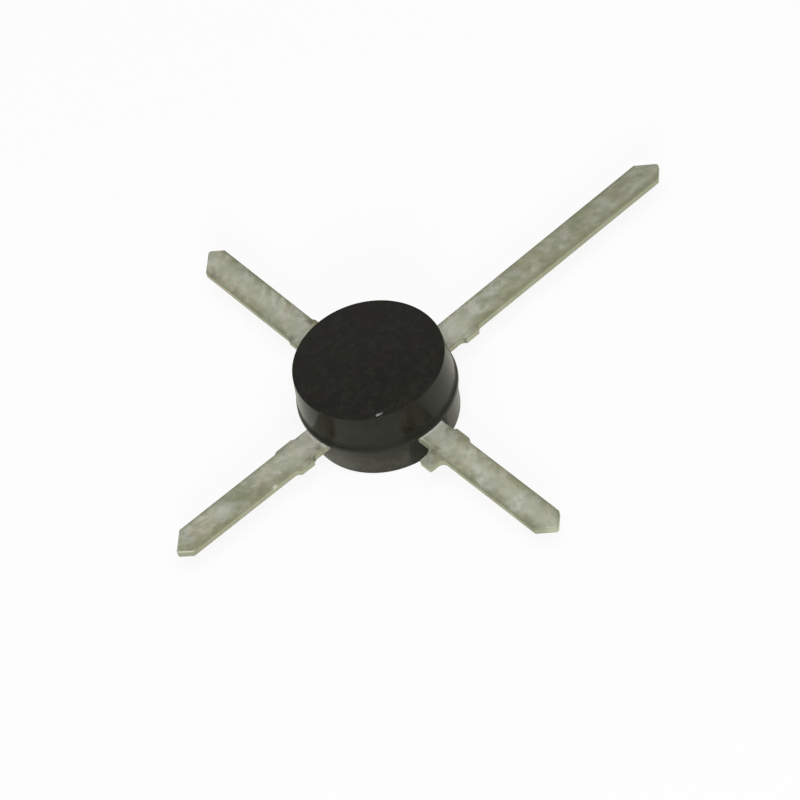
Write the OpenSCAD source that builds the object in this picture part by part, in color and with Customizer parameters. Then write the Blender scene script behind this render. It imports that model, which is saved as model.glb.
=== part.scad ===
// Four-lead disc transistor: a round moulded body with flat leads in a cross.
//
// Millimetres. The origin is the centre of the body's underside, +Z points up
// and +X runs along the long lead. The side leads run along +Y and -Y, and the
// one along -Y carries the index tab. The chip sits on the inner end of the
// long lead, under the middle of the body, and bond wires join it to the others.

/* [Moulded body] */
// Diameter of the upper half at the mould joint
joint_d = 4.76; // [4.4:0.01:5.2]
// How far the upper half overhangs the lower half at the mould joint
joint_step = 0.07; // [0.01:0.005:0.12]
// How far the lip at the mould joint stands out from the upper half's side
lip_out = 0.03; // [0.01:0.005:0.06]
// Height of the lip's edge
lip_t = 0.13; // [0.05:0.01:0.2]
// Height of the lip above the mould joint, where it has run out into the side
lip_h = 0.38; // [0.25:0.01:0.6]
// Height of the body above the leads' metal
upper_h = 1.36; // [1.1:0.01:1.6]
// Height of the body below the exposed leads
lower_h = 0.9; // [0.6:0.01:1.2]
// Draft of the upper half's side, in degrees
upper_draft = 5; // [3:0.1:9]
// Draft of the lower half's side, in degrees
lower_draft = 5; // [3:0.1:9]
// Radius of the top edge
top_round = 0.04; // [0.02:0.01:0.2]
// Radius of the bottom edge
base_round = 0.1; // [0.02:0.01:0.2]

/* [Exposed leads] */
// Width of each lead
lead_w = 0.93; // [0.84:0.01:1.0]
// Thickness of each lead, solder coat included
lead_t = 0.24; // [0.2:0.01:0.3]
// Thickness of the solder coat on the metal outside the body
coat_t = 0.01; // [0.005:0.001:0.02]
// Length of the long lead from the body's axis
long_len = 11; // [9:0.01:12]
// Length of the lead opposite the long one, from the body's axis
opposite_len = 7.7; // [6:0.01:9]
// Length of the plain side lead, from the body's axis
side_len = 7.95; // [6:0.01:9]
// Length of the side lead with the tab, from the body's axis
tabbed_len = 7.86; // [6:0.01:9]
// Width of the blunt end between the two bevels of a tip
tip_w = 0.08; // [0.02:0.01:0.3]
// How far the long lead's point lies to the left of its middle, seen from the body
long_tip = -0.06; // [-0.2:0.01:0.2]
// How far the opposite lead's point lies to the left of its middle
opposite_tip = 0.12; // [-0.2:0.01:0.2]
// How far the plain side lead's point lies to the left of its middle
side_tip = -0.12; // [-0.2:0.01:0.2]
// How far the tabbed lead's point lies to the left of its middle
tabbed_tip = 0.02; // [-0.2:0.01:0.2]
// Sideways set of the long lead, in degrees
long_turn = 0.65; // [-1:0.05:1]
// Sideways set of the opposite lead, in degrees
opposite_turn = -0.4; // [-1:0.05:1]
// Sideways set of the plain side lead, in degrees
side_turn = -0.3; // [-1:0.05:1]
// Sideways set of the tabbed lead, in degrees
tabbed_turn = 0.3; // [-1:0.05:1]

/* [Tie bar stubs] */
// Gap between the body and the tie bar, along a lead
bar_gap = 0.56; // [0.45:0.01:0.8]
// Width of the tie bar, along a lead
bar_w = 0.46; // [0.3:0.01:0.7]
// Radius where the tie bar joined a lead
bar_fillet = 0.2; // [0.1:0.01:0.25]
// Radius of the notch between the index tab and the body
notch_round = 0.32; // [0.1:0.01:0.35]
// Stub on the long lead, on the tabbed lead's side
long_stub = 0.13; // [0.02:0.01:0.3]
// Stub on the opposite lead, on the tabbed lead's side
opposite_stub_near = 0.12; // [0.02:0.01:0.3]
// Stub on the opposite lead, on the plain side lead's side
opposite_stub_far = 0.06; // [0.02:0.01:0.3]
// Stubs on the plain side lead
side_stub = 0.05; // [0.02:0.01:0.3]
// Stub on the tabbed lead, on the long lead's side
tabbed_stub = 0.09; // [0.02:0.01:0.3]
// How far the index tab stands out from its lead
tab_reach = 0.48; // [0.3:0.01:0.7]
// How far the notch between the tab and the body is cut into the lead
notch_in = 0.05; // [0.01:0.01:0.1]

/* [Inside the body] */
// Width of the square chip
chip_w = 0.38; // [0.3:0.01:0.5]
// Thickness of the chip
chip_t = 0.15; // [0.1:0.01:0.25]
// How far the long lead's pad goes past the chip
pad_margin = 0.26; // [0.15:0.01:0.35]
// Gap between the pad and the noses of the other leads
nose_gap = 0.35; // [0.2:0.01:0.45]
// Width of a nose at its end
nose_w = 0.5; // [0.3:0.01:0.7]
// Length over which a nose widens to the full lead
nose_run = 0.5; // [0.3:0.01:0.6]
// Distance from the body's side to the middle of the keying notches
key_in = 0.61; // [0.4:0.01:0.7]
// Length of a keying notch along its lead
key_len = 0.24; // [0.1:0.01:0.3]
// Depth of a keying notch
key_depth = 0.12; // [0.05:0.01:0.2]

/* [Bond wires] */
// Diameter of the bond wires
wire_d = 0.025; // [0.018:0.001:0.04]
// Height of the straight rise above the chip
wire_rise = 0.1; // [0.06:0.01:0.2]
// Radius of the bend at the top of a wire
wire_bend = 0.06; // [0.04:0.01:0.1]
// Diameter of the ball bonded to the chip
ball_d = 0.07; // [0.05:0.005:0.09]
// Thickness of the ball bonded to the chip
ball_t = 0.02; // [0.01:0.005:0.04]
// Distance from the chip's edge to the centre of each ball
ball_in = 0.09; // [0.05:0.01:0.1]
// Distance from the end of a nose to the foot of its wire
foot_in = 0.16; // [0.08:0.01:0.25]

/* [Hidden] */

// Directions of the leads around the body
opposite_dir = 180 + opposite_turn;
side_dir = 90 + side_turn;
tabbed_dir = -90 + tabbed_turn;

// Levels above the underside
metal_z = lower_h + coat_t;
metal_t = lead_t - 2 * coat_t;
joint_z = metal_z + metal_t;
body_h = joint_z + upper_h;
chip_z = joint_z + chip_t;

// Distances from the body's axis
top_r = side_r(body_h);
base_r = joint_d / 2 - joint_step - joint_z * tan(lower_draft);
bar_in = joint_d / 2 + bar_gap;
bar_out = bar_in + bar_w;
key_u = joint_d / 2 - key_in;
ball_u = chip_w / 2 - ball_in;
pad_u = chip_w / 2 + pad_margin;

// Half the width of the bare metal, and where it ends inside its solder coat
metal_side = lead_w / 2 - coat_t;
metal_out = joint_d / 2 + bar_gap / 2;

// Noses of the lead that faces the pad's end, and of the two beside it
opposite_nose = pad_u + nose_gap;
side_nose = metal_side + nose_gap;

arc_steps = 6;
wire_sides = 8;
smooth = 96;

// ---- Outlines ----

function unit(v) = v / norm(v);

// Arc of radius r that rounds the corner p between a and b.
function rounded(a, p, b, r) =
    let (
        to_a = unit(a - p),
        to_b = unit(b - p),
        half = acos(to_a * to_b) / 2,
        centre = p + unit(to_a + to_b) * r / sin(half),
        from = p + to_a * r / tan(half) - centre,
        to = p + to_b * r / tan(half) - centre,
        start = atan2(from.y, from.x),
        turn = atan2(from.x * to.y - from.y * to.x, from * to)
    )
    [for (i = [0:arc_steps])
        let (a = start + turn * i / arc_steps)
        centre + r * [cos(a), sin(a)]];

// Radius of the upper half's side at the level z, without its lip.
function side_r(z) = joint_d / 2 - lip_out - (z - joint_z) * tan(upper_draft);

// Hollow curve of the lip, from its edge up to where it has run out into the side.
function lip_curve() =
    [for (i = [0:arc_steps])
        let (left = 1 - i / arc_steps, z = joint_z + lip_h - (lip_h - lip_t) * left)
        [side_r(z) + lip_out * left * left, z]];

// Half section of the body, from the axis round to the axis.
function body_section() =
    let (
        foot = [base_r, 0],
        under_step = [joint_d / 2 - joint_step, joint_z],
        over_step = [joint_d / 2, joint_z],
        side_foot = [side_r(joint_z), joint_z],
        rim = [top_r, body_h]
    )
    concat(
        [[0, 0]],
        rounded([0, 0], foot, under_step, base_round),
        [under_step, over_step],
        lip_curve(),
        rounded(side_foot, rim, [0, body_h], top_round),
        [[0, body_h]]
    );

// Fillet of radius r that climbs by h from a lead's edge at v to the side of
// the tie bar at u. way is 1 on the body's side of the bar and -1 beyond it.
function climb(u, v, h, r, way) =
    let (top = acos(max(0, 1 - h / r)))
    [for (i = [0:arc_steps])
        let (a = top * i / arc_steps)
        [u - way * r * (1 - sin(a)), v + r * (1 - cos(a))]];

function backwards(points) = [for (i = [len(points) - 1:-1:0]) points[i]];

// What is left of the tie bar on one edge of a lead: a stub that stands out by
// reach, after a neck that is cut back by inset and rounded by r.
function bar_stub(reach, inset, r) =
    let (side = lead_w / 2)
    concat(
        climb(bar_in, side - inset, reach + inset, r, 1),
        reach + inset > r ? [[bar_in, side + reach]] : [],
        reach > bar_fillet ? [[bar_out, side + reach]] : [],
        backwards(climb(bar_out, side, reach, bar_fillet, -1))
    );

// One edge of a coated strip, from the body's axis to the blunt end of its tip.
// tip is how far the point lies towards this edge, and the bevel is at 45 degrees.
function strip_edge(length, tip, reach, inset = 0, r = bar_fillet) =
    let (side = lead_w / 2)
    concat(
        [[0, side - inset]],
        reach > 0 ? bar_stub(reach, inset, r) : [],
        [[length - (side - tip - tip_w / 2), side], [length, tip + tip_w / 2]]
    );

// One edge of the metal inside the body, from its keying notch outwards.
function metal_edge(inset) = [
    [key_u - key_len / 2, metal_side],
    [key_u - key_len / 2, metal_side - key_depth],
    [key_u + key_len / 2, metal_side - key_depth],
    [key_u + key_len / 2, metal_side - inset],
    [metal_out, metal_side - inset]
];

// The same edge on the other side of the lead, run the other way.
function flipped(edge) = [for (p = backwards(edge)) [p.x, -p.y]];

// ---- Shared shapes ----

module body_shape() {
    rotate_extrude($fn = smooth) polygon(body_section());
}

// The part of a lead outside the body, with its solder coat, between its two
// edges. Both are written as if they were the left one, seen from the body.
module coated_strip(left, right) {
    difference() {
        translate([0, 0, lower_h])
            linear_extrude(lead_t) polygon(concat(left, flipped(right)));
        body_shape();
    }
}

// The bare metal of a lead inside the body, whose inner end is inner_end.
module inner_metal(inner_end, inset_right = 0) {
    translate([0, 0, metal_z])
        linear_extrude(metal_t)
            polygon(concat(
                inner_end,
                metal_edge(0),
                flipped(metal_edge(inset_right))
            ));
}

// The end under the chip, which goes past the body's axis.
function pad_end() = [[-pad_u, -metal_side], [-pad_u, metal_side]];

// The narrowed end of a lead that takes a bond wire.
function nose_end(u) = [
    [u + nose_run, -metal_side],
    [u, -nose_w / 2],
    [u, nose_w / 2],
    [u + nose_run, metal_side]
];

module long_metal() {
    rotate([0, 0, long_turn]) inner_metal(pad_end());
}

module opposite_metal() {
    rotate([0, 0, opposite_dir]) inner_metal(nose_end(opposite_nose));
}

module side_metal() {
    rotate([0, 0, side_dir]) inner_metal(nose_end(side_nose));
}

module tabbed_metal() {
    rotate([0, 0, tabbed_dir]) inner_metal(nose_end(side_nose), notch_in);
}

// ---- Bond wires ----

// The path of a wire in its own upright plane, from the chip's top face over
// the bend and straight down to the metal of its lead, whose nose is at nose.
// Each entry is [position, across], where across is along the wire's width.
function wire_path(nose) =
    let (
        bend_at = [wire_bend, ball_t + wire_rise],
        foot = [nose + foot_in - ball_u, -chip_t],
        reach = foot - bend_at,
        fall = atan2(-reach.y, reach.x) + asin(wire_bend / norm(reach))
    )
    concat(
        [[[0, 0], [-1, 0]]],
        [for (i = [0:arc_steps])
            let (a = (90 + fall) * i / arc_steps)
            [bend_at + wire_bend * [-cos(a), sin(a)], [-cos(a), sin(a)]]],
        [[foot, [1 / sin(fall), 0]]]
    );

module bond_wire(direction, nose) {
    path = wire_path(nose);
    rings = len(path);
    points = [
        for (step = path, k = [0:wire_sides - 1])
            let (
                a = 360 * (k + 0.5) / wire_sides,
                at = step[0] + step[1] * cos(a) * wire_d / 2
            )
            [at.x, sin(a) * wire_d / 2, at.y]
    ];
    sides = [
        for (ring = [0:rings - 2], k = [0:wire_sides - 1])
            let (
                a = ring * wire_sides + k,
                b = ring * wire_sides + (k + 1) % wire_sides
            )
            [a, b, b + wire_sides, a + wire_sides]
    ];
    first = [for (k = [wire_sides - 1:-1:0]) k];
    last = [for (k = [0:wire_sides - 1]) (rings - 1) * wire_sides + k];
    rotate([0, 0, direction])
        translate([ball_u, 0, chip_z]) {
            polyhedron(points, concat([first], sides, [last]));
            cylinder(h = ball_t, d = ball_d, $fn = 12);
        }
}

module opposite_wire() {
    bond_wire(180, opposite_nose);
}

module side_wire() {
    bond_wire(90, side_nose);
}

module tabbed_wire() {
    bond_wire(-90, side_nose);
}

// ---- Pieces ----

module moulded_body() {
    color("#2b2a28")
        difference() {
            body_shape();
            long_metal();
            opposite_metal();
            side_metal();
            tabbed_metal();
            chip_shape();
            opposite_wire();
            side_wire();
            tabbed_wire();
        }
}

module long_lead() {
    color("#a9aa98") {
        long_metal();
        rotate([0, 0, long_turn])
            coated_strip(
                strip_edge(long_len, long_tip, 0),
                strip_edge(long_len, -long_tip, long_stub)
            );
    }
}

module opposite_lead() {
    color("#a9aa98") {
        opposite_metal();
        rotate([0, 0, opposite_dir])
            coated_strip(
                strip_edge(opposite_len, opposite_tip, opposite_stub_near),
                strip_edge(opposite_len, -opposite_tip, opposite_stub_far)
            );
    }
}

module side_lead() {
    color("#a9aa98") {
        side_metal();
        rotate([0, 0, side_dir])
            coated_strip(
                strip_edge(side_len, side_tip, side_stub),
                strip_edge(side_len, -side_tip, side_stub)
            );
    }
}

module tabbed_lead() {
    color("#a9aa98") {
        tabbed_metal();
        rotate([0, 0, tabbed_dir])
            coated_strip(
                strip_edge(tabbed_len, tabbed_tip, tabbed_stub),
                strip_edge(tabbed_len, -tabbed_tip, tab_reach, notch_in, notch_round)
            );
    }
}

module chip_shape() {
    translate([-chip_w / 2, -chip_w / 2, joint_z]) cube([chip_w, chip_w, chip_t]);
}

module chip() {
    color("#5c5f66") chip_shape();
}

module opposite_bond_wire() {
    color("#d9b24a") opposite_wire();
}

module side_bond_wire() {
    color("#d9b24a") side_wire();
}

module tabbed_bond_wire() {
    color("#d9b24a") tabbed_wire();
}

moulded_body();
long_lead();
opposite_lead();
side_lead();
tabbed_lead();
chip();
opposite_bond_wire();
side_bond_wire();
tabbed_bond_wire();
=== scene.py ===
"""Looks of the four-lead disc transistor: the moulding, the tinned leads and the gold wires inside.

Every size here is in millimetres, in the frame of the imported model: the origin is the centre of
the body's underside, +Z is up and +X runs along the long lead. Meshes are made in millimetres and
brought to metres when they are finished.
"""

from math import acos, asin, atan2, cos, hypot, pi, radians, sin, tan

import bmesh
import bpy
from mathutils import Matrix, Vector


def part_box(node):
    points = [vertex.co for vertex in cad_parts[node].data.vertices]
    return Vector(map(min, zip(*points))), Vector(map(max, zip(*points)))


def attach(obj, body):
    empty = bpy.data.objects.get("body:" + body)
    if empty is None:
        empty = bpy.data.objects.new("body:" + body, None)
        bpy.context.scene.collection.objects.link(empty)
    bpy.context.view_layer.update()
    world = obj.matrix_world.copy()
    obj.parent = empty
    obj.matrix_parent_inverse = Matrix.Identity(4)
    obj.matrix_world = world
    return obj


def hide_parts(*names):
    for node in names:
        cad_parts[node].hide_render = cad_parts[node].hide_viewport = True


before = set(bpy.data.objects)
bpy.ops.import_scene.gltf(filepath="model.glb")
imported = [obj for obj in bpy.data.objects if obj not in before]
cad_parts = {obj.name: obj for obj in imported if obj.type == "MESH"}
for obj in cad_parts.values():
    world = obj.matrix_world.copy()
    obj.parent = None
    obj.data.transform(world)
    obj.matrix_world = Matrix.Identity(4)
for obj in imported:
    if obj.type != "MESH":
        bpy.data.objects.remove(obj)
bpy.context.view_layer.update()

MM = 0.001

# Attribute that notes each point's place on its own lead
LEAD_PLACE = "lead_place"

# Colour inputs and output of a Mix node, whose names its other kinds share
MIX_A = 6
MIX_B = 7
MIX_COLOUR = 2


# ---------------------------------------------------------------- sizes

def low_mm(node):
    """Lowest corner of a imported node."""
    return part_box(node)[0] / MM


def high_mm(node):
    """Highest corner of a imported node."""
    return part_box(node)[1] / MM


body_h = high_mm("moulded_body").z
joint_r = high_mm("moulded_body").x
strip_z = low_mm("long_lead").z
strip_top = high_mm("long_lead").z
chip_half = high_mm("chip").x
chip_top = high_mm("chip").z
joint_z = low_mm("chip").z

# Moulding
joint_step = 0.07
lip_out = 0.03
lip_t = 0.13
lip_h = 0.38
lip_round = 0.02
upper_draft = radians(5)
lower_draft = radians(5)
top_round = 0.04
base_round = 0.1
nick_len = 0.26
nick_w = 0.11
nick_in = 0.13
nick_down = 0.02
nick_turn = -121.5
nick_tilt = 38
nick_slant = 20
nick_cutter_h = 0.5
mark_r = 0.80
mark_depth = 0.006
mark_edge = 0.04

# Soft edge of the round mark on top, in shares of its width and of its depth
MARK_SLOPE = ((1, 0), (0.6, 0.12), (0.3, 0.6), (0, 1))

# Leads
coat_t = strip_top - joint_z
lead_w = 0.93
tip_w = 0.08
edge_round = 0.04
corner_round = 0.05
strip_in = joint_r - 0.5

# Direction of each lead in degrees
LEAD_TURNS = {"long_lead": 0.65, "opposite_lead": 179.6, "side_lead": 89.7, "tabbed_lead": -89.7}

# Length of each lead from the body's axis, how far its point lies to the left, and how far the
# tie bar's stubs stand out on its left and on its right
LEAD_SIZES = {
    "long_lead": (11, -0.06, 0, 0.13),
    "opposite_lead": (7.7, 0.12, 0.12, 0.06),
    "side_lead": (7.95, -0.12, 0.05, 0.05),
    "tabbed_lead": (7.86, 0.02, 0.09, 0.48),
}

# Tarnish on top of the leads, and painted shade in the corners by the tie bar's stubs: middle, reach,
# share and colour of each patch
OLIVE = (0.270, 0.295, 0.160)
BUFF = (0.640, 0.570, 0.440)
DARK_STAIN_AND_SHADE = (0.120, 0.105, 0.075)
RUSSET = (0.260, 0.170, 0.120)
PALE = (0.800, 0.815, 0.700)
STAINS_AND_SHADE = [
    (-5.10, 0.10, 0.60, 0.36, OLIVE), (-4.70, -0.28, 0.42, 0.24, DARK_STAIN_AND_SHADE), (-5.95, 0.10, 0.55, 0.34, PALE),
    (-6.75, 0.05, 0.50, 0.36, BUFF), (-3.30, 0.05, 0.90, 0.26, PALE), (-4.10, 0.20, 0.50, 0.20, PALE),
    # The dark spot at (-2.85, -0.42) is painted shade in the corner by a tie-bar stub
    (-2.85, -0.42, 0.20, 0.75, DARK_STAIN_AND_SHADE), (-6.30, -0.38, 0.45, 0.25, RUSSET),
    # The dark spots at (0.42, 3.50) and (-0.42, 3.50) are painted shade in the corners by the tie bar's
    # stubs
    (0.42, 3.50, 0.24, 0.62, DARK_STAIN_AND_SHADE), (-0.42, 3.50, 0.18, 0.60, DARK_STAIN_AND_SHADE), (-0.38, 7.15, 0.20, 0.40, DARK_STAIN_AND_SHADE),
    (3.00, -0.05, 0.90, 0.34, PALE), (3.30, 0.46, 0.20, 0.50, RUSSET), (5.05, 0.40, 0.18, 0.30, RUSSET),
    (0.30, -6.30, 0.40, 0.25, OLIVE),
]

# Tie bar
bar_in = joint_r + 0.56
bar_out = bar_in + 0.46
bar_fillet = 0.2
notch_round = 0.32
notch_in = 0.05

# Inner ends of the leads
metal_side = lead_w / 2 - coat_t
pad_u = chip_half + 0.26
nose_gap = 0.35
nose_w = 0.5
nose_run = 0.5
end_nose_u = pad_u + nose_gap
side_nose_u = metal_side + nose_gap
key_u = joint_r - 0.61
key_len = 0.24
key_depth = 0.12

# Bond wires
wire_d = 0.025
wire_rise = 0.1
wire_bend = 0.06
ball_d = 0.07
ball_t = 0.02
ball_in = 0.09
foot_in = 0.16

# Smoothness
round_sides = 256
arc_steps = 12
fillet_steps = 8
corner_steps = 4
eased_turn = radians(30)
edge_steps = 5
nick_sides = 32
wire_sides = 16
bend_steps = 16
ball_sides = 24
ball_rings = 12
kept_edge = 32
kept_wire_edge = 60

# Colours of the resin, and of the shade painted on it
RESIN_DARK = (0.0056, 0.0056, 0.0027)
RESIN_LIGHT = (0.0094, 0.0089, 0.0050)
RESIN_SPECKLE = (0.0205, 0.0200, 0.0145)
RESIN_FAR_TONE = (0.0175, 0.0170, 0.0125)
RESIN_FILLER = (0.040, 0.038, 0.031)
RESIN_REDDISH = (0.0180, 0.0105, 0.0080)
RESIN_LOWER_PALE = (0.080, 0.080, 0.056)
RESIN_LIP_SHADE = (0.0050, 0.0050, 0.0035)

# Colours of the tin plate, and of the light and shade painted on it
TIN_DULL = (0.385, 0.401, 0.262)
TIN_BRIGHT = (0.690, 0.698, 0.570)
TIN_OLIVE = (0.520, 0.520, 0.310)
TIN_COOL = (0.525, 0.560, 0.510)
TIN_WARM = (0.560, 0.440, 0.350)
TIN_MOTTLE = (0.310, 0.325, 0.205)
TIN_CRYSTAL = (0.770, 0.780, 0.690)
TIN_BORDER = (0.250, 0.265, 0.155)
TIN_ONE_EDGE = (0.300, 0.300, 0.180)
TIN_SHADED_FLANK = (0.270, 0.285, 0.195)
TIN_LONG_TIP = (0.290, 0.305, 0.200)
TIN_TABBED_TIP = (0.290, 0.305, 0.215)
TIN_MIDDLE = (0.790, 0.810, 0.680)
TIN_NEAR_BODY_LIGHT = (0.800, 0.815, 0.710)
TIN_ROOT = (0.860, 0.865, 0.800)
TIN_FLUX = (0.230, 0.200, 0.130)
TIN_LIT_FLANK = (0.700, 0.710, 0.580)
TIN_EDGE_SHADE = (0.200, 0.210, 0.125)
TIN_GLINT = (0.900, 0.905, 0.830)
# Place of a painted highlight on the opposite lead's near edge
glint_place = (-4.30, -0.44, strip_top - 0.02)

# Spans over which the finishes change, each from none of the change to all of it
# The first two spans bound the tab's painted shadow on the lower half
beside_tab_x = (0.84, 0.64)
beside_tab_y = (-1.8, -2.0)
short_tip = (7.05, 7.25)
off_long_lead_x = (5.0, 4.0)
long_end_x = (3.5, 9.0)
tabbed_end_y = (-6.2, -7.2)
edge_inner_y = (-0.10, -0.30)
edge_outer_y = (-0.52, -0.40)
side_leads_y = (1.5, 2.0)
# Span of the painted highlights along the edges of the opposite lead's point
glint_end_x = (-7.25, -7.45)

# Colours of the chip, its bond pads and the wires
SILICON = (0.06, 0.07, 0.10)
BOND_PAD = (0.16, 0.16, 0.19)
GOLD_DEEP = (0.80, 0.52, 0.14)
GOLD_PALE = (0.92, 0.64, 0.24)


# ---------------------------------------------------------------- mesh helpers

def direction_from(azimuth, elevation):
    """Unit vector at an azimuth and an elevation in degrees."""
    a, e = radians(azimuth), radians(elevation)
    return Vector((cos(e) * cos(a), cos(e) * sin(a), sin(e)))


def arc(centre, radius, start, end, steps):
    """Points of an arc from angle start to angle end, in radians."""
    return [
        (centre[0] + radius * cos(start + (end - start) * i / steps),
         centre[1] + radius * sin(start + (end - start) * i / steps))
        for i in range(steps + 1)
    ]


def rounded(before, corner, after, radius, steps=arc_steps):
    """Arc that rounds the corner between the points before and after it."""
    corner = Vector(corner)
    to_before = (Vector(before) - corner).normalized()
    to_after = (Vector(after) - corner).normalized()
    half = acos(to_before.dot(to_after)) / 2
    centre = corner + (to_before + to_after).normalized() * radius / sin(half)
    start = corner + to_before * radius / tan(half) - centre
    end = corner + to_after * radius / tan(half) - centre
    turn = atan2(start.x * end.y - start.y * end.x, start.dot(end))
    first = atan2(start.y, start.x)
    return arc(centre, radius, first, first + turn, steps)


def object_from(name, data):
    """New object that holds a mesh, a lamp or a camera, in the scene."""
    piece = bpy.data.objects.new(name, data)
    bpy.context.scene.collection.objects.link(piece)
    return piece


def solid_from(name, shape):
    """New object with the faces built up so far."""
    mesh = bpy.data.meshes.new(name)
    shape.to_mesh(mesh)
    shape.free()
    return object_from(name, mesh)


def turned_solid(name, section):
    """Solid of revolution of a section that runs from the axis round to the axis."""
    shape = bmesh.new()
    angles = [2 * pi * k / round_sides for k in range(round_sides)]
    poles = [shape.verts.new((0, 0, section[0][1])), shape.verts.new((0, 0, section[-1][1]))]
    rings = [[shape.verts.new((r * cos(a), r * sin(a), z)) for a in angles] for r, z in section[1:-1]]
    for k in range(round_sides):
        after = (k + 1) % round_sides
        shape.faces.new((poles[0], rings[0][after], rings[0][k]))
        shape.faces.new((poles[1], rings[-1][k], rings[-1][after]))
        for lower, upper in zip(rings, rings[1:]):
            shape.faces.new((lower[k], lower[after], upper[after], upper[k]))
    return solid_from(name, shape)


def stacked_solid(name, outlines):
    """Solid through (outline, level) pairs from the lowest up, whose outlines run anticlockwise."""
    shape = bmesh.new()
    rings = [[shape.verts.new((u, v, z)) for u, v in outline] for outline, z in outlines]
    shape.faces.new(rings[0][::-1])
    shape.faces.new(rings[-1])
    for lower, upper in zip(rings, rings[1:]):
        for k in range(len(lower)):
            after = (k + 1) % len(lower)
            shape.faces.new((lower[k], lower[after], upper[after], upper[k]))
    return solid_from(name, shape)


def flat_solid(name, outline, bottom, top):
    """Flat solid between two levels."""
    return stacked_solid(name, [(outline, bottom), (outline, top)])


def eased(outline):
    """The outline with an arc at each corner that turns sharply and has room for it."""
    points = [Vector(point) for point in outline]
    result = []
    for k, corner in enumerate(points):
        before, after = points[k - 1], points[(k + 1) % len(points)]
        turn = (corner - before).angle(after - corner)
        room = min((corner - before).length, (after - corner).length) / 2
        if turn > eased_turn and corner_round * tan(turn / 2) < room:
            result += rounded(before, corner, after, corner_round, corner_steps)
        else:
            result.append(tuple(corner))
    return result


def drawn_in(outline, distance):
    """The anticlockwise outline with each side moved inwards by the distance."""
    points = [Vector(point) for point in outline]
    result = []
    for k, corner in enumerate(points):
        towards = (corner - points[k - 1]).normalized()
        onwards = (points[(k + 1) % len(points)] - corner).normalized()
        inwards = Vector((-towards.y - onwards.y, towards.x + onwards.x)).normalized()
        result.append(tuple(corner + inwards * distance / Vector((-towards.y, towards.x)).dot(inwards)))
    return result


def plated_solid(name, outline, bottom, top, radius):
    """Flat solid whose upper and lower edges are rounded."""
    angles = [pi / 2 * i / edge_steps for i in range(edge_steps + 1)]
    levels = [(radius * (1 - sin(a)), bottom + radius * (1 - cos(a))) for a in angles]
    levels += [(inset, bottom + top - z) for inset, z in reversed(levels)]
    return stacked_solid(name, [(drawn_in(outline, inset), z) for inset, z in levels])


def settled(piece):
    """The object with its modifiers carried out, as a plain mesh."""
    seen = piece.evaluated_get(bpy.context.evaluated_depsgraph_get())
    mesh = bpy.data.meshes.new_from_object(seen)
    piece.modifiers.clear()
    old = piece.data
    piece.data = mesh
    if old.users == 0:
        bpy.data.meshes.remove(old)
    return piece


def combine(piece, others, operation):
    """Joins the other solids to the piece, or cuts them out of it."""
    for other in others:
        step = piece.modifiers.new(operation, "BOOLEAN")
        step.operation = operation
        step.solver = "EXACT"
        step.object = other
    settled(piece)


def discard(*pieces):
    """Removes objects with their meshes."""
    for piece in pieces:
        mesh = piece.data
        bpy.data.objects.remove(piece)
        bpy.data.meshes.remove(mesh)


def finish(piece, material, slot, *nodes):
    """Brings a piece to metres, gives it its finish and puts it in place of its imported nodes."""
    piece.data.transform(Matrix.Scale(MM, 4))
    piece.data.materials.clear()
    piece.data.materials.append(material)
    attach(piece, "root")
    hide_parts(*nodes)


# ---------------------------------------------------------------- material helpers

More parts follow.
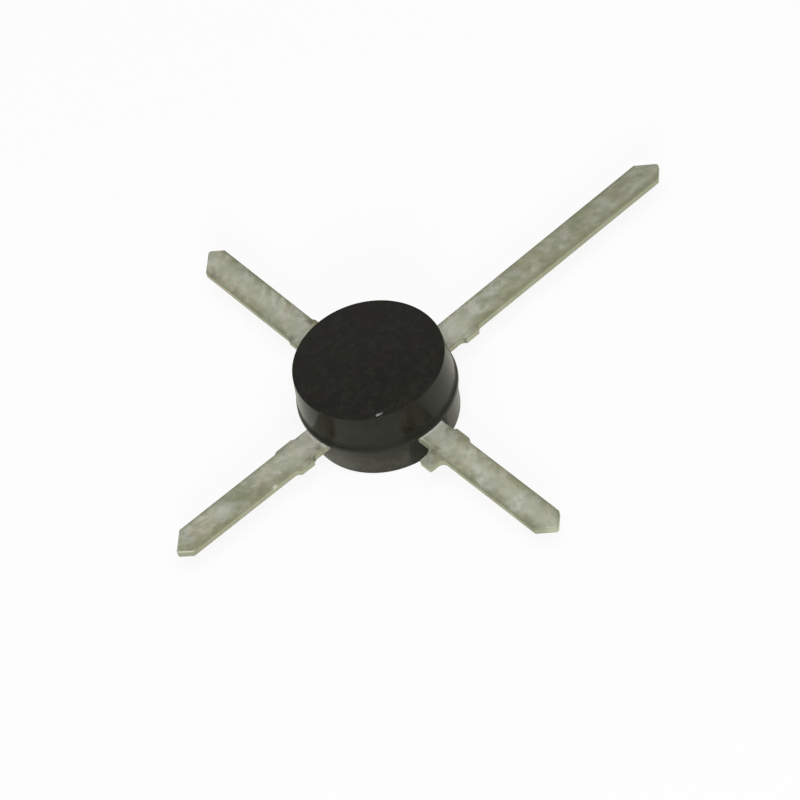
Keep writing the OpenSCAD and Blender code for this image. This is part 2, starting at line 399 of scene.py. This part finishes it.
class Finish:
    """A material under construction. Patterns are laid out in millimetres on the object's own axes."""

    def __init__(self, name):
        self.material = bpy.data.materials.new(name)
        self.material.use_nodes = True
        self.tree = self.material.node_tree
        self.tree.nodes.clear()
        self.shader = self.node("ShaderNodeBsdfPrincipled")
        output = self.node("ShaderNodeOutputMaterial")
        self.link(self.shader.outputs["BSDF"], output.inputs["Surface"])
        place = self.node("ShaderNodeTexCoord")
        scaled = self.node("ShaderNodeVectorMath", operation="SCALE")
        self.link(place.outputs["Object"], scaled.inputs[0])
        scaled.inputs["Scale"].default_value = 1 / MM
        self.place = scaled.outputs[0]
        self.x, self.y, self.z = self.split(self.place)
        self.upward = self.split(place.outputs["Normal"])[2]

    def node(self, kind, **settings):
        """New node with its settings."""
        made = self.tree.nodes.new(kind)
        for key, value in settings.items():
            setattr(made, key, value)
        return made

    def link(self, source, target):
        """Joins an output to an input."""
        self.tree.links.new(source, target)

    def put(self, target, value):
        """Gives an input a pattern or a plain value."""
        if isinstance(value, bpy.types.NodeSocket):
            self.link(value, target)
        else:
            target.default_value = value

    def math(self, operation, a, b=0.0, c=0.0):
        """Result of an operation on patterns or plain values."""
        made = self.node("ShaderNodeMath", operation=operation)
        for target, value in zip(made.inputs, (a, b, c)):
            self.put(target, value)
        return made.outputs[0]

    def times(self, product, *others):
        """Product of all the values."""
        for other in others:
            product = self.math("MULTIPLY", product, other)
        return product

    def split(self, vector):
        """The three parts of a vector or of a colour."""
        made = self.node("ShaderNodeSeparateXYZ")
        self.link(vector, made.inputs[0])
        return made.outputs

    def vector(self, x, y, z):
        """Vector of three parts."""
        made = self.node("ShaderNodeCombineXYZ")
        for target, value in zip(made.inputs, (x, y, z)):
            self.put(target, value)
        return made.outputs[0]

    def ramp(self, value, low, high, at_low=0.0, at_high=1.0):
        """Soft step from at_low to at_high as the value goes from low to high."""
        made = self.node("ShaderNodeMapRange", interpolation_type="SMOOTHSTEP")
        for target, given in zip(made.inputs, (value, low, high, at_low, at_high)):
            self.put(target, given)
        return made.outputs[0]

    def noise(self, per_mm, detail=3.0, roughness=0.55, place=None, distortion=0.0):
        """Cloudy pattern from 0 to 1 with about per_mm patches in a millimetre."""
        made = self.node("ShaderNodeTexNoise")
        self.link(place or self.place, made.inputs["Vector"])
        made.inputs["Scale"].default_value = per_mm
        made.inputs["Detail"].default_value = detail
        made.inputs["Roughness"].default_value = roughness
        made.inputs["Distortion"].default_value = distortion
        return made.outputs["Fac"]

    def voronoi(self, per_mm):
        """Outputs of a pattern of cells with about per_mm of them in a millimetre."""
        made = self.node("ShaderNodeTexVoronoi")
        self.link(self.place, made.inputs["Vector"])
        made.inputs["Scale"].default_value = per_mm
        return made.outputs

    def grains(self, per_mm):
        """Distance to the middle of the nearest grain."""
        return self.voronoi(per_mm)["Distance"]

    def cells(self, per_mm):
        """A level from 0 to 1 for each crystal."""
        return self.split(self.voronoi(per_mm)["Color"])[0]

    def away_from(self, point):
        """Distance from a point, in millimetres."""
        made = self.node("ShaderNodeVectorMath", operation="DISTANCE")
        self.link(self.place, made.inputs[0])
        made.inputs[1].default_value = point
        return made.outputs["Value"]

    def mix(self, share, a, b):
        """Colour a where share is 0 and b where it is 1."""
        made = self.node("ShaderNodeMix", data_type="RGBA")
        self.put(made.inputs[0], share)
        for target, value in ((made.inputs[MIX_A], a), (made.inputs[MIX_B], b)):
            self.put(target, value if isinstance(value, bpy.types.NodeSocket) else (*value, 1.0))
        return made.outputs[MIX_COLOUR]

    def relief(self, *layers):
        """Fine relief from (pattern, height in millimetres) layers, on the shader's normal."""
        normal = None
        for pattern, height in layers:
            bump = self.node("ShaderNodeBump")
            bump.inputs["Strength"].default_value = 1.0
            bump.inputs["Distance"].default_value = height * MM
            self.put(bump.inputs["Height"], pattern)
            if normal is not None:
                self.link(normal, bump.inputs["Normal"])
            normal = bump.outputs["Normal"]
        self.link(normal, self.shader.inputs["Normal"])

    def cover(self, colour, roughness):
        """Colour and roughness patterns of the surface."""
        self.put(self.shader.inputs["Base Color"], colour)
        self.put(self.shader.inputs["Roughness"], roughness)


# ---------------------------------------------------------------- finishes

def moulding_finish():
    """Near-black filled resin: matt on top, smoother on the side, dull on the rim but for its nick."""
    f = Finish("moulding compound")
    on_top = f.ramp(f.upward, 0.45, 0.90)
    clouds = f.noise(1.6, 4.0)
    filler = f.ramp(f.grains(26), 0.05, 0.3, 1.0, 0.0)
    round_the_side = f.vector(f.math("ARCTAN2", f.y, f.x), f.times(f.z, 0.12), 0.0)
    streaks = f.noise(14, 2.0, place=round_the_side)

    # Painted shade: a dark line in the hollow above the lip
    over_lip = f.ramp(f.z, joint_z + lip_t - 0.02, joint_z + lip_t)
    lip_shade = f.times(over_lip, f.ramp(f.z, joint_z + lip_h + 0.1, joint_z + lip_t))

    # Resin with its speckle, its filler, reddish patches, and the top lighter towards the far side
    resin = f.mix(f.ramp(clouds, 0.35, 0.65), RESIN_DARK, RESIN_LIGHT)
    speckle = f.ramp(f.noise(4.2, 4.0, 0.80), 0.44, 0.64, 0.0, 0.68)
    resin = f.mix(f.times(speckle, f.ramp(on_top, 0.0, 1.0, 0.4, 1.0)), resin, RESIN_SPECKLE)
    far_side = f.math("MULTIPLY_ADD", f.x, 0.5, f.y)
    resin = f.mix(f.times(f.ramp(far_side, -2.2, 2.2, 0.0, 0.36), on_top), resin, RESIN_FAR_TONE)
    resin = f.mix(f.times(filler, 0.12), resin, RESIN_FILLER)
    reddish = f.ramp(f.noise(2.2, 3.0, place=f.vector(f.z, f.x, f.y)), 0.54, 0.68)
    resin = f.mix(f.times(reddish, on_top, 0.35), resin, RESIN_REDDISH)

    # Paler lower half, fading towards the bottom edge as painted contact shade, and left off beside the
    # tabbed lead as the tab's painted shadow
    lower_pale = f.times(f.ramp(f.z, joint_z, 0.3), f.ramp(f.noise(3.6), 0.3, 0.7, 0.25, 1.0))
    lower_pale = f.times(lower_pale, f.ramp(f.z, 0.04, 0.24, 0.2, 1.0))
    tab_shade = f.times(f.ramp(f.math("ABSOLUTE", f.x), *beside_tab_x), f.ramp(f.y, *beside_tab_y))
    tab_shade = f.times(tab_shade, f.ramp(f.z, joint_z + 0.02, joint_z - 0.02))
    resin = f.mix(f.times(lower_pale, f.ramp(tab_shade, 0.0, 1.0, 1.0, 0.0), 0.42), resin, RESIN_LOWER_PALE)
    # Painted shade in the hollow above the lip
    resin = f.mix(f.times(lip_shade, 0.3), resin, RESIN_LIP_SHADE)

    # Roughness of the top and the side, then of the line, the place by the tab and the rim
    gloss_top = f.ramp(clouds, 0.3, 0.7, 0.50, 0.60)
    gloss_side = f.ramp(streaks, 0.3, 0.7, 0.14, 0.24)
    roughness = f.math("MULTIPLY_ADD", on_top, f.math("SUBTRACT", gloss_top, gloss_side), gloss_side)
    roughness = f.math("MULTIPLY_ADD", lip_shade, 0.45, roughness)
    roughness = f.math("MULTIPLY_ADD", tab_shade, 0.36, roughness)
    polished = f.ramp(f.away_from(nick_centre()), 0.10, 0.16, 1.0, 0.0)
    on_rim = f.ramp(f.z, body_h - 0.06, body_h - 0.03)
    dulled = f.ramp(polished, 0.0, 1.0, 0.25, 0.02)
    roughness = f.math("MULTIPLY_ADD", on_rim, dulled, roughness)
    f.cover(resin, roughness)
    f.shader.inputs["IOR"].default_value = 1.5
    f.shader.inputs["Specular IOR Level"].default_value = 0.28

    # Grain that leaves the nick smooth
    grain = f.times(f.noise(34, 3.0), f.ramp(on_top, 0.0, 1.0, 0.25, 1.0))
    grain = f.times(grain, f.ramp(polished, 0.0, 1.0, 1.0, 0.0))
    f.relief((grain, 0.010), (streaks, 0.0015), (clouds, 0.004))
    return f.material


def tin_finish():
    """Dull tin plate with a faint olive tarnish. Its edges follow each lead's own length and width."""
    f = Finish("tin plate")
    own = f.node("ShaderNodeAttribute", attribute_name=LEAD_PLACE)
    along, sideways = f.split(own.outputs["Vector"])[:2]
    across = f.math("ABSOLUTE", sideways)
    level = f.math("ABSOLUTE", f.upward)
    on_top = f.ramp(level, 0.35, 0.85)

    # Patterns drawn out along each lead, and set apart from one lead to the next
    apart = f.math("MULTIPLY_ADD", f.ramp(f.x, 1.0, 1.5), 9.0, f.ramp(f.y, 1.0, 1.5, 0.0, 5.0))
    apart = f.math("ADD", apart, f.ramp(f.y, -1.0, -1.5, 0.0, 14.0))
    drawn = f.vector(f.times(along, 0.90), f.math("MULTIPLY_ADD", along, 0.20, sideways), apart)
    clouds = f.noise(1.5, 2.0, 0.60, place=drawn, distortion=0.2)
    mottle = f.noise(4.2, 3.0, 0.60, place=drawn, distortion=0.2)
    tint = f.noise(1.5, 2.0, place=f.vector(f.y, f.x, f.z))
    warmth = f.noise(3.0, 2.0, place=f.vector(f.z, f.y, f.x))
    rolled = f.noise(1.0, 3.0, place=f.vector(f.times(along, 1.3), f.times(sideways, 34), f.x))

    # Plate, from bright to dull, with cool, olive and warm tints, mottling and crystals
    tin = f.mix(f.ramp(clouds, 0.33, 0.67), TIN_DULL, TIN_BRIGHT)
    tin = f.mix(f.ramp(tint, 0.50, 0.70, 0.0, 0.40), tin, TIN_OLIVE)
    tin = f.mix(f.ramp(tint, 0.50, 0.30, 0.0, 0.40), tin, TIN_COOL)
    tin = f.mix(f.ramp(warmth, 0.55, 0.68, 0.0, 0.55), tin, TIN_WARM)
    tin = f.mix(f.times(f.ramp(mottle, 0.40, 0.62), 0.60), tin, TIN_MOTTLE)
    tin = f.mix(f.times(f.cells(3.2), 0.10), tin, TIN_CRYSTAL)
    # Tarnish patches, some of them painted shade by the tie bar's stubs
    for x, y, spread, share, colour in STAINS_AND_SHADE:
        patch = f.ramp(f.away_from((x, y, strip_top)), spread, spread * 0.2, 0.0, share)
        tin = f.mix(f.times(patch, f.ramp(mottle, 0.25, 0.55, 0.5, 1.0)), tin, colour)

    # Darker border, darkest along the -Y edge of the two leads on the x axis
    patchy = f.ramp(f.noise(2.4), 0.32, 0.62, 0.45, 1.0)
    border = f.times(f.ramp(across, 0.31, 0.455), on_top, patchy)
    tin = f.mix(f.times(border, 0.68), tin, TIN_BORDER)
    one_edge = f.times(f.ramp(f.y, *edge_inner_y), f.ramp(f.y, *edge_outer_y))
    tin = f.mix(f.times(one_edge, patchy, 0.50), tin, TIN_ONE_EDGE)

    # Painted shade on the flanks, darkest at the points of the short leads, and painted shade on the long
    # and tabbed leads towards their outer ends
    tip = f.times(f.ramp(along, *short_tip), f.ramp(f.x, *off_long_lead_x))
    flank_shade = f.times(f.ramp(on_top, 1.0, 0.0), f.ramp(tip, 0.0, 1.0, 0.70, 0.95))
    tin = f.mix(flank_shade, tin, TIN_SHADED_FLANK)
    tin = f.mix(f.ramp(f.x, *long_end_x, 0.0, 0.38), tin, TIN_LONG_TIP)
    tin = f.mix(f.ramp(f.y, *tabbed_end_y, 0.0, 0.32), tin, TIN_TABBED_TIP)

    # Brighter middle of the two leads on the y axis, painted light on the tops near the body against the
    # body's shade, and a brighter line at the root
    cross_pair = f.ramp(f.math("ABSOLUTE", f.y), *side_leads_y)
    tin = f.mix(f.times(cross_pair, f.ramp(across, 0.36, 0.10), 0.34), tin, TIN_MIDDLE)
    near_body_light = f.ramp(along, joint_r + 1.3, joint_r + 0.2, 0.0, 0.28)
    tin = f.mix(f.times(near_body_light, on_top), tin, TIN_NEAR_BODY_LIGHT)
    root = f.ramp(along, joint_r + 0.10, joint_r + 0.02)
    root = f.times(root, f.ramp(mottle, 0.3, 0.6, 0.4, 1.0), f.ramp(on_top, 0.0, 1.0, 0.25, 1.0))
    tin = f.mix(f.times(root, 0.75), tin, TIN_ROOT)

    # Spots of old flux beside the body
    flux = f.times(f.ramp(along, joint_r + 1.1, joint_r + 0.6), f.ramp(f.noise(3.4, 2.0), 0.54, 0.64))
    tin = f.mix(f.times(flux, f.ramp(across, 0.12, 0.36), 0.50), tin, TIN_FLUX)

    # Painted light on the upright flanks, painted shade on the rounded edges, and painted highlights on
    # the near edge and the point of the opposite lead
    tin = f.mix(f.ramp(level, 0.30, 0.05, 0.0, 0.18), tin, TIN_LIT_FLANK)
    at_edge = f.times(f.ramp(level, 0.995, 0.93), f.ramp(level, 0.04, 0.20))
    edge_shade = f.times(at_edge, f.ramp(tip, 0.0, 1.0, 1.0, 0.7))
    tin = f.mix(f.times(edge_shade, 0.42), tin, TIN_EDGE_SHADE)
    # Painted highlights: a bright spot on the near edge and along the edges of the point
    glint = f.ramp(f.away_from(glint_place), 0.12, 0.03)
    glint = f.math("MULTIPLY_ADD", at_edge, f.ramp(f.x, *glint_end_x), glint)
    tin = f.mix(f.times(glint, 0.38), tin, TIN_GLINT)

    roughness = f.math("ADD", f.ramp(clouds, 0.3, 0.7, 0.52, 0.45), f.ramp(rolled, 0.3, 0.7, -0.04, 0.06))
    roughness = f.math("MULTIPLY_ADD", edge_shade, 0.35, roughness)
    roughness = f.math("MULTIPLY_ADD", glint, -0.12, roughness)
    f.cover(tin, roughness)
    f.shader.inputs["Metallic"].default_value = 0.55
    f.relief((f.noise(9, 3.0), 0.007), (rolled, 0.003), (clouds, 0.008))
    return f.material


def silicon_finish():
    """Polished chip with its bond pads."""
    f = Finish("silicon")
    pads = f.ramp(f.noise(9, 1.0), 0.45, 0.55)
    f.cover(f.mix(pads, SILICON, BOND_PAD), f.ramp(f.noise(20), 0.3, 0.7, 0.14, 0.26))
    f.shader.inputs["Metallic"].default_value = 0.5
    f.relief((f.noise(40), 0.001))
    return f.material


def gold_finish():
    """Drawn gold wire."""
    f = Finish("gold wire")
    f.cover(f.mix(f.noise(30), GOLD_DEEP, GOLD_PALE), f.ramp(f.noise(60), 0.3, 0.7, 0.18, 0.30))
    f.shader.inputs["Metallic"].default_value = 1.0
    f.relief((f.noise(90), 0.0006))
    return f.material


# ---------------------------------------------------------------- moulding

def side_r(z):
    """Radius of the upper half's side at a level, without its lip."""
    return joint_r - lip_out - (z - joint_z) * tan(upper_draft)


def lip_curve():
    """Hollow curve of the lip, from its edge up to where it has run out into the side."""
    points = []
    for i in range(arc_steps + 1):
        left = 1 - i / arc_steps
        z = joint_z + lip_h - (lip_h - lip_t) * left
        points.append((side_r(z) + lip_out * left * left, z))
    return points


def moulding_section():
    """Half section of the moulding, from the underside's middle round to the top's middle."""
    top_r = side_r(body_h)
    base_r = joint_r - joint_step - joint_z * tan(lower_draft)
    foot = (base_r, 0)
    under_step = (joint_r - joint_step, joint_z)
    over_step = (joint_r, joint_z)
    rim = (top_r, body_h)
    mark_z = body_h - mark_depth
    hollow = lip_curve()
    return [
        (0, 0),
        (base_r * 0.5, 0),
        *rounded((0, 0), foot, under_step, base_round),
        under_step,
        *rounded(under_step, over_step, hollow[0], lip_round),
        *rounded(over_step, hollow[0], hollow[1], lip_round),
        *hollow[1:],
        *rounded((side_r(joint_z), joint_z), rim, (0, body_h), top_round),
        *((mark_r + mark_edge * out, body_h - mark_depth * down) for out, down in MARK_SLOPE),
        (mark_r * 0.5, mark_z),
        (0, mark_z),
    ]


def nick_centre():
    """Middle of the nick's flat, just inside the upper rim."""
    return direction_from(nick_turn, 0) * (side_r(body_h) - nick_in) + Vector((0, 0, body_h - nick_down))


def rim_nick():
    """Solid that takes a small oval nick out of the upper rim."""
    angles = [2 * pi * k / nick_sides for k in range(nick_sides)]
    outline = [(cos(a) * nick_w / 2, sin(a) * nick_len / 2) for a in angles]
    cutter = flat_solid("nick", outline, 0, nick_cutter_h)
    tilted = direction_from(nick_turn, nick_tilt).to_track_quat("Z", "X").to_matrix().to_4x4()
    slanted = Matrix.Rotation(radians(nick_slant), 4, "Z")
    cutter.data.transform(Matrix.Translation(nick_centre()) @ tilted @ slanted)
    return cutter


def flat_nick(piece):
    """Keeps the nick's floor flat in smooth shading."""
    facing = direction_from(nick_turn, nick_tilt)
    for face in piece.data.polygons:
        if face.normal.dot(facing) > 0.9999:
            face.use_smooth = False
    return piece


# ---------------------------------------------------------------- leads

def climb(u, v, height, radius, way):
    """Fillet that climbs by height from a lead's edge at v to the side of the tie bar at u."""
    top = acos(max(0, 1 - height / radius))
    angles = [top * i / fillet_steps for i in range(fillet_steps + 1)]
    return [(u - way * radius * (1 - sin(a)), v + radius * (1 - cos(a))) for a in angles]


def strip_edge(length, tip, reach, inset=0.0, radius=bar_fillet):
    """One edge of the tinned strip, from inside the body to the blunt end of its tip."""
    side = lead_w / 2
    points = [(strip_in, side - inset)]
    if reach > 0:
        points += climb(bar_in, side - inset, reach + inset, radius, 1)
        if reach + inset > radius:
            points.append((bar_in, side + reach))
        if reach > bar_fillet:
            points.append((bar_out, side + reach))
        points += climb(bar_out, side, reach, bar_fillet, -1)[::-1]
    return points + [(length - (side - tip - tip_w / 2), side), (length, tip + tip_w / 2)]


def flipped(edge):
    """The edge on the other side, running the other way."""
    return [(u, -v) for u, v in reversed(edge)]


def metal_edge(inset):
    """One edge of the metal inside the body, from its keying notch outwards."""
    return [
        (key_u - key_len / 2, metal_side),
        (key_u - key_len / 2, metal_side - key_depth),
        (key_u + key_len / 2, metal_side - key_depth),
        (key_u + key_len / 2, metal_side - inset),
        ((joint_r + bar_in) / 2, metal_side - inset),
    ]


def pad_end():
    """Inner end of the long lead, under the chip."""
    return [(-pad_u, -metal_side), (-pad_u, metal_side)]


def nose_end(u):
    """Inner end of another lead, which narrows to a nose at u."""
    return [(u + nose_run, -metal_side), (u, -nose_w / 2), (u, nose_w / 2), (u + nose_run, metal_side)]


def lead(name, node, inner_end, notch=0.0, radius=bar_fillet):
    """A whole lead: the tinned strip outside the body and the bare metal inside it."""
    length, tip, left_reach, right_reach = LEAD_SIZES[node]
    left = strip_edge(length, tip, left_reach)
    right = strip_edge(length, -tip, right_reach, notch, radius)
    outline = eased((left + flipped(right))[::-1])
    strip = plated_solid(name, outline, strip_z, strip_top, edge_round)
    core_outline = inner_end + metal_edge(0) + flipped(metal_edge(notch))
    core = flat_solid(name + "_core", core_outline[::-1], strip_z + coat_t, strip_top - coat_t)
    for part in (strip, core):
        part.data.transform(Matrix.Rotation(radians(LEAD_TURNS[node]), 4, "Z"))
    return strip, core


def placed(strip, node):
    """Notes on each point how far along and across its own lead it lies, for the finish."""
    own = strip.data.attributes.new(LEAD_PLACE, "FLOAT_VECTOR", "POINT")
    straight = Matrix.Rotation(radians(-LEAD_TURNS[node]), 3, "Z")
    for point, noted in zip(strip.data.vertices, own.data):
        noted.vector = straight @ point.co
    return strip


def smooth_shaded(piece, angle=kept_edge):
    """Smooth shading that keeps the edges sharper than the angle, in degrees."""
    piece.data.shade_smooth()
    piece.data.set_sharp_from_angle(angle=radians(angle))
    return piece


# ---------------------------------------------------------------- bond wires

def wire_tree(material):
    """Node tree that sweeps a wire along the path of its mesh and bonds a ball to its first point."""
    tree = bpy.data.node_groups.new("bonded wire", "GeometryNodeTree")
    sockets = tree.interface
    sockets.new_socket(name="Geometry", in_out="INPUT", socket_type="NodeSocketGeometry")
    for name in ("Wire radius", "Bend radius", "Ball radius", "Ball height"):
        sockets.new_socket(name=name, in_out="INPUT", socket_type="NodeSocketFloat")
    sockets.new_socket(name="Geometry", in_out="OUTPUT", socket_type="NodeSocketGeometry")
    add = tree.nodes.new
    link = tree.links.new
    given = add("NodeGroupInput")
    path = add("GeometryNodeMeshToCurve")
    link(given.outputs["Geometry"], path.inputs["Mesh"])
    bend = add("GeometryNodeFilletCurve")
    bend.mode = "POLY"
    bend.inputs["Count"].default_value = bend_steps
    bend.inputs["Limit Radius"].default_value = True
    link(path.outputs["Curve"], bend.inputs["Curve"])
    link(given.outputs["Bend radius"], bend.inputs["Radius"])
    section = add("GeometryNodeCurvePrimitiveCircle")
    section.inputs["Resolution"].default_value = wire_sides
    link(given.outputs["Wire radius"], section.inputs["Radius"])
    wire = add("GeometryNodeCurveToMesh")
    wire.inputs["Fill Caps"].default_value = True
    link(bend.outputs["Curve"], wire.inputs["Curve"])
    link(section.outputs["Curve"], wire.inputs["Profile Curve"])
    ball = add("GeometryNodeMeshUVSphere")
    ball.inputs["Segments"].default_value = ball_sides
    ball.inputs["Rings"].default_value = ball_rings
    ball.inputs["Radius"].default_value = 1.0
    squeezed = add("ShaderNodeCombineXYZ")
    link(given.outputs["Ball radius"], squeezed.inputs["X"])
    link(given.outputs["Ball radius"], squeezed.inputs["Y"])
    link(given.outputs["Ball height"], squeezed.inputs["Z"])
    first = add("GeometryNodeCurveEndpointSelection")
    first.inputs["End Size"].default_value = 0
    bonded = add("GeometryNodeInstanceOnPoints")
    link(path.outputs["Curve"], bonded.inputs["Points"])
    link(first.outputs[0], bonded.inputs["Selection"])
    link(ball.outputs["Mesh"], bonded.inputs["Instance"])
    link(squeezed.outputs[0], bonded.inputs["Scale"])
    both = add("GeometryNodeJoinGeometry")
    link(wire.outputs["Mesh"], both.inputs[0])
    link(bonded.outputs["Instances"], both.inputs[0])
    real = add("GeometryNodeRealizeInstances")
    link(both.outputs[0], real.inputs[0])
    painted = add("GeometryNodeSetMaterial")
    painted.inputs["Material"].default_value = material
    link(real.outputs[0], painted.inputs["Geometry"])
    result = add("NodeGroupOutput")
    link(painted.outputs[0], result.inputs["Geometry"])
    return tree


def bond_wire(name, tree, direction, nose):
    """A wire from its ball on the chip, over its bend, down to the metal of a lead."""
    ball_u = chip_half - ball_in
    rise = ball_t + wire_rise
    reach = nose + foot_in - ball_u - wire_bend
    drop = chip_top - joint_z + rise
    fall = atan2(drop, reach) + asin(wire_bend / hypot(reach, drop))
    corner = rise + wire_bend * tan((pi / 2 + fall) / 2)
    bonded = (ball_u, 0, chip_top + ball_t / 2)
    bend = (ball_u, 0, chip_top + corner)
    foot = (nose + foot_in, 0, joint_z + wire_d / 2)
    path = bpy.data.meshes.new(name)
    path.from_pydata([bonded, bend, foot], [(0, 1), (1, 2)], [])
    path.transform(Matrix.Rotation(radians(direction), 4, "Z"))
    piece = object_from(name, path)
    step = piece.modifiers.new("bonded wire", "NODES")
    step.node_group = tree
    sizes = {
        "Wire radius": wire_d / 2, "Bend radius": wire_bend,
        "Ball radius": ball_d / 2, "Ball height": ball_t / 2,
    }
    for item in tree.interface.items_tree:
        if item.name in sizes:
            step[item.identifier] = sizes[item.name]
    return settled(piece)


# ---------------------------------------------------------------- putting it together

moulding = moulding_finish()
tin = tin_finish()
silicon = silicon_finish()
gold = gold_finish()

body = turned_solid("moulding", moulding_section())

LEADS = {
    "long_lead": lead("long_strip", "long_lead", pad_end()),
    "opposite_lead": lead("opposite_strip", "opposite_lead", nose_end(end_nose_u)),
    "side_lead": lead("side_strip", "side_lead", nose_end(side_nose_u)),
    "tabbed_lead": lead("tabbed_strip", "tabbed_lead", nose_end(side_nose_u), notch_in, notch_round),
}

wires = wire_tree(gold)
WIRES = {
    "opposite_bond_wire": bond_wire("opposite_wire", wires, 180, end_nose_u),
    "side_bond_wire": bond_wire("side_wire", wires, 90, side_nose_u),
    "tabbed_bond_wire": bond_wire("tabbed_wire", wires, -90, side_nose_u),
}

for strip, core in LEADS.values():
    combine(strip, [body], "DIFFERENCE")
    combine(strip, [core], "UNION")

chip_room = object_from("chip_room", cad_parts["chip"].data.copy())
chip_room.data.transform(Matrix.Scale(1 / MM, 4))
nick = rim_nick()
cores = [core for strip, core in LEADS.values()]
combine(body, [*cores, chip_room, *WIRES.values(), nick], "DIFFERENCE")
discard(chip_room, nick, *cores)

for node, (strip, core) in LEADS.items():
    finish(smooth_shaded(placed(strip, node)), tin, "tinned_lead", node)
for node, wire in WIRES.items():
    finish(smooth_shaded(wire, kept_wire_edge), gold, "gold_wire", node)
finish(flat_nick(smooth_shaded(body)), moulding, "moulding", "moulded_body")
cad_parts["chip"].data.materials.clear()
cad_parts["chip"].data.materials.append(silicon)


# ---------------------------------------------------------------- stage, light and camera

# Floor, which lies just under the body
floor_reach = 600
floor_z = -0.01
paper_tone = 0.9

# Blue left in the paper to all but the eye, and its share of pure white to the eye and mirrored
blue_share = 0.88
seen_share = 0.88
mirrored_share = 0.2

# Point the lamps face, and the surround's strength as a light and to the eye
lamp_aim = Vector((0, 0, 1.2))
world_light = 0.30
world_seen = 1.0

# Camera
camera_aim = Vector((0.168, -0.813, strip_top))
camera_azimuth = -117.3
camera_elevation = 48.53
camera_roll = -17.49
camera_distance = 229.4
lens_length = 360
sensor_width = 36
near_clip = 10
far_clip = 10000


def floor_finish():
    """White paper: near white to the eye with part of the shadow, and warmer where it is mirrored."""
    material = bpy.data.materials.new("white paper")
    material.use_nodes = True
    tree = material.node_tree
    tree.nodes.clear()
    paper = tree.nodes.new("ShaderNodeBsdfDiffuse")
    white = tree.nodes.new("ShaderNodeEmission")
    white.inputs["Strength"].default_value = 1.0
    path = tree.nodes.new("ShaderNodeLightPath")
    for shader, tone in ((paper, paper_tone), (white, 1.0)):
        warmth = tree.nodes.new("ShaderNodeMix")
        warmth.data_type = "RGBA"
        warmth.inputs[MIX_A].default_value = (tone, tone, tone * blue_share, 1)
        warmth.inputs[MIX_B].default_value = (tone, tone, tone, 1)
        tree.links.new(path.outputs["Is Camera Ray"], warmth.inputs[0])
        tree.links.new(warmth.outputs[MIX_COLOUR], shader.inputs["Color"])
    mirrored = tree.nodes.new("ShaderNodeMath")
    mirrored.operation = "MULTIPLY"
    mirrored.inputs[1].default_value = mirrored_share
    tree.links.new(path.outputs["Is Glossy Ray"], mirrored.inputs[0])
    share = tree.nodes.new("ShaderNodeMath")
    share.operation = "MULTIPLY_ADD"
    share.inputs[1].default_value = seen_share
    tree.links.new(path.outputs["Is Camera Ray"], share.inputs[0])
    tree.links.new(mirrored.outputs[0], share.inputs[2])
    mix = tree.nodes.new("ShaderNodeMixShader")
    tree.links.new(share.outputs[0], mix.inputs[0])
    tree.links.new(paper.outputs[0], mix.inputs[1])
    tree.links.new(white.outputs[0], mix.inputs[2])
    output = tree.nodes.new("ShaderNodeOutputMaterial")
    tree.links.new(mix.outputs[0], output.inputs["Surface"])
    return material


def softbox(name, azimuth, elevation, distance, size, power):
    """Square lamp that faces the object. Distances are in millimetres."""
    lamp = bpy.data.lights.new(name, "AREA")
    lamp.size = size * MM
    lamp.energy = power
    piece = object_from(name, lamp)
    away = direction_from(azimuth, elevation)
    piece.location = (lamp_aim + away * distance) * MM
    piece.rotation_euler = away.to_track_quat("Z", "Y").to_euler()


floor_mesh = bpy.data.meshes.new("floor")
corner_signs = ((-1, -1), (1, -1), (1, 1), (-1, 1))
floor_corners = [(x * floor_reach, y * floor_reach, floor_z) for x, y in corner_signs]
floor_mesh.from_pydata(floor_corners, [], [(0, 1, 2, 3)])
floor_mesh.transform(Matrix.Scale(MM, 4))
floor = object_from("floor", floor_mesh)
floor.data.materials.append(floor_finish())

softbox("overhead", azimuth=-110, elevation=68, distance=300, size=200, power=0.55)
softbox("front", azimuth=-125, elevation=27, distance=260, size=50, power=0.235)

world = bpy.data.worlds.new("studio")
bpy.context.scene.world = world
world.use_nodes = True
surround = world.node_tree.nodes["Background"]
surround.inputs["Color"].default_value = (1, 1, 1, 1)
seen = world.node_tree.nodes.new("ShaderNodeLightPath")
strength = world.node_tree.nodes.new("ShaderNodeMapRange")
strength.inputs["To Min"].default_value = world_light
strength.inputs["To Max"].default_value = world_seen
world.node_tree.links.new(seen.outputs["Is Camera Ray"], strength.inputs["Value"])
world.node_tree.links.new(strength.outputs["Result"], surround.inputs["Strength"])

lens = bpy.data.cameras.new("camera")
lens.lens = lens_length
lens.sensor_width = sensor_width
lens.clip_start = near_clip * MM
lens.clip_end = far_clip * MM
camera = object_from("camera", lens)
outward = direction_from(camera_azimuth, camera_elevation)
upright = outward.to_track_quat("Z", "Y").to_matrix().to_4x4()
camera.matrix_world = (
    Matrix.Translation((camera_aim + outward * camera_distance) * MM)
    @ upright
    @ Matrix.Rotation(radians(camera_roll), 4, "Z")
)
bpy.context.scene.camera = camera
bpy.context.scene.view_settings.view_transform = "Standard"
